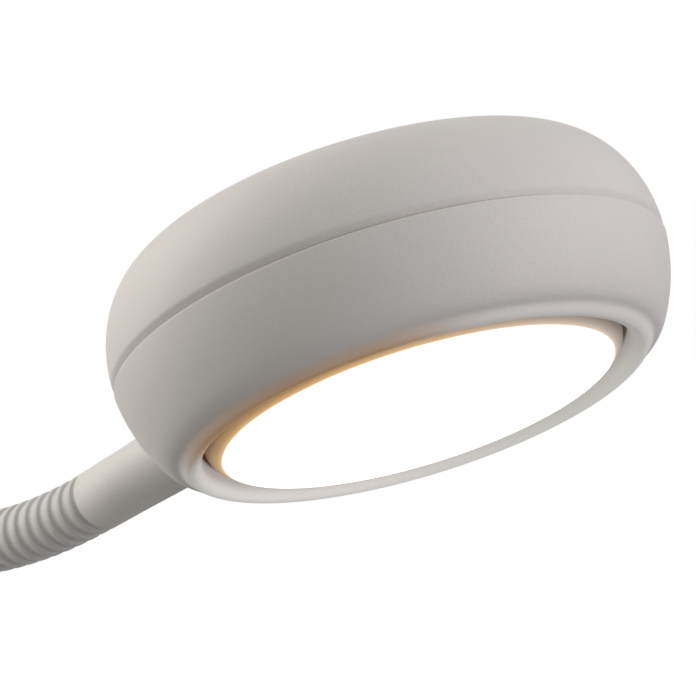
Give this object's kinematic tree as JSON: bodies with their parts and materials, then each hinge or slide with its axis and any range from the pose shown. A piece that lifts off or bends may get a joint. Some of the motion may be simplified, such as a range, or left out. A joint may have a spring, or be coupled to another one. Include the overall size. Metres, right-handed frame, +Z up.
{
  "type": "clip-on reading lamp",
  "caption": "Clip-on rechargeable reading lamp: spring clip base with button and charging socket, bendable gooseneck, round LED head.",
  "frame": {"origin": "centre of the fixed upper pad's face, where the lamp rests on what it is clipped to", "axes": "+Z up out of the pad's back, +X out of the clip's mouth towards the head, y = 0 is the lamp's middle plane"},
  "size_m": [0.3037, 0.0854, 0.2411],
  "materials": {
    "shell": "soft-touch satin, warm light grey",
    "diffuser": "milky, glowing, amber at the rim",
    "reflector": "white",
    "led_board": "white solder mask on aluminium",
    "led_chip": "yellow phosphor",
    "screw_steel": "zinc plated",
    "ferrule_steel": "nickel plated",
    "pin_steel": "ground",
    "spring_steel": "drawn wire",
    "lead_sheath": "matt black PVC",
    "neck_sleeve": "ribbed soft-touch, warm light grey",
    "neck_core": "wound steel",
    "pad_rubber": "soft silicone",
    "battery_foil": "foil pouch",
    "circuit_board": "green solder mask",
    "socket_metal": "bright nickel",
    "switch_black": "black",
    "light_pipe": "clear, slightly frosted",
    "button": "soft-touch, a little darker than the shell"
  },
  "bodies": {
    "clip_body": {"clip_frame": "shell", "clip_top_cover": "shell", "upper_pad": "pad_rubber", "battery_cell": "battery_foil", "control_board": "circuit_board", "usb_c_socket": "socket_metal", "tact_switch": "switch_black", "charge_light_pipe": "light_pipe", "cover_screws": "screw_steel", "board_screws": "screw_steel", "lower_collar": "shell", "lower_ferrule": "ferrule_steel", "lower_washer": "ferrule_steel", "lower_nut": "ferrule_steel", "clip_lead": "lead_sheath", "hinge_pin": "pin_steel", "pin_retainers": "pin_steel", "torsion_spring": "spring_steel", "neck_sleeve_1": "neck_sleeve", "neck_core_1": "neck_core", "neck_lead_1": "lead_sheath"},
    "lower_jaw": {"jaw_lever": "shell", "lower_pad": "pad_rubber", "jaw_grip": "pad_rubber"},
    "button": {"power_button": "button"},
    "neck_2": {"neck_sleeve_2": "neck_sleeve", "neck_core_2": "neck_core", "neck_lead_2": "lead_sheath"},
    "neck_3": {"neck_sleeve_3": "neck_sleeve", "neck_core_3": "neck_core", "neck_lead_3": "lead_sheath"},
    "neck_4": {"neck_sleeve_4": "neck_sleeve", "neck_core_4": "neck_core", "neck_lead_4": "lead_sheath"},
    "neck_5": {"neck_sleeve_5": "neck_sleeve", "neck_core_5": "neck_core", "neck_lead_5": "lead_sheath"},
    "neck_6": {"neck_sleeve_6": "neck_sleeve", "neck_core_6": "neck_core", "neck_lead_6": "lead_sheath"},
    "neck_7": {"neck_sleeve_7": "neck_sleeve", "neck_core_7": "neck_core", "neck_lead_7": "lead_sheath"},
    "lamp_head": {"head_front_housing": "shell", "head_rear_cover": "shell", "diffuser": "diffuser", "reflector_ring": "reflector", "led_board": "led_board", "led_chips": "led_chip", "led_board_screws": "screw_steel", "head_screws": "screw_steel", "upper_collar": "shell", "upper_ferrule": "ferrule_steel", "upper_nut": "ferrule_steel", "head_lead": "lead_sheath", "neck_sleeve_8": "neck_sleeve", "neck_core_8": "neck_core", "neck_lead_8": "lead_sheath"}
  },
  "joints": [
    {"name": "neck_pitch_1", "type": "hinge", "parent": "clip_body", "child": "neck_2", "pos_m": [-0.05027, 0, 0.06694], "axis": [0, 1, 0], "range_deg": [-30, 20]},
    {"name": "neck_sway_2", "type": "hinge", "parent": "neck_2", "child": "neck_3", "pos_m": [-0.04343, 0, 0.09916], "axis": [-0.9511, 0, 0.309], "range_deg": [-25, 25]},
    {"name": "neck_pitch_3", "type": "hinge", "parent": "neck_3", "child": "neck_4", "pos_m": [-0.02752, 0, 0.12785], "axis": [0, 1, 0], "range_deg": [-30, 20]},
    {"name": "neck_sway_4", "type": "hinge", "parent": "neck_4", "child": "neck_5", "pos_m": [-0.0014, 0, 0.14754], "axis": [-0.4067, 0, 0.9135], "range_deg": [-25, 25]},
    {"name": "neck_pitch_5", "type": "hinge", "parent": "neck_5", "child": "neck_6", "pos_m": [0.03065, 0, 0.15435], "axis": [0, 1, 0], "range_deg": [-30, 15]},
    {"name": "neck_sway_6", "type": "hinge", "parent": "neck_6", "child": "neck_7", "pos_m": [0.06341, 0, 0.1509], "axis": [0.2079, 0, 0.9781], "range_deg": [-25, 25]},
    {"name": "head_tilt_7", "type": "hinge", "parent": "neck_7", "child": "lamp_head", "pos_m": [0.09622, 0, 0.14855], "axis": [0, -1, 0], "range_deg": [-15, 25]},
    {"name": "clip_hinge", "type": "hinge", "parent": "clip_body", "child": "lower_jaw", "pos_m": [-0.034, 0, -0.0046], "axis": [0, 1, 0], "range_deg": [0, 36], "stiffness_Nm_per_rad": 0.6, "springref_deg": -51.57, "deforming": ["torsion_spring"]},
    {"name": "button_press", "type": "slide", "parent": "clip_body", "child": "button", "axis": [0, 0, -1], "range_m": [0, 0.0006], "stiffness_N_per_m": 2500, "springref_m": -0.0002}
  ]
}
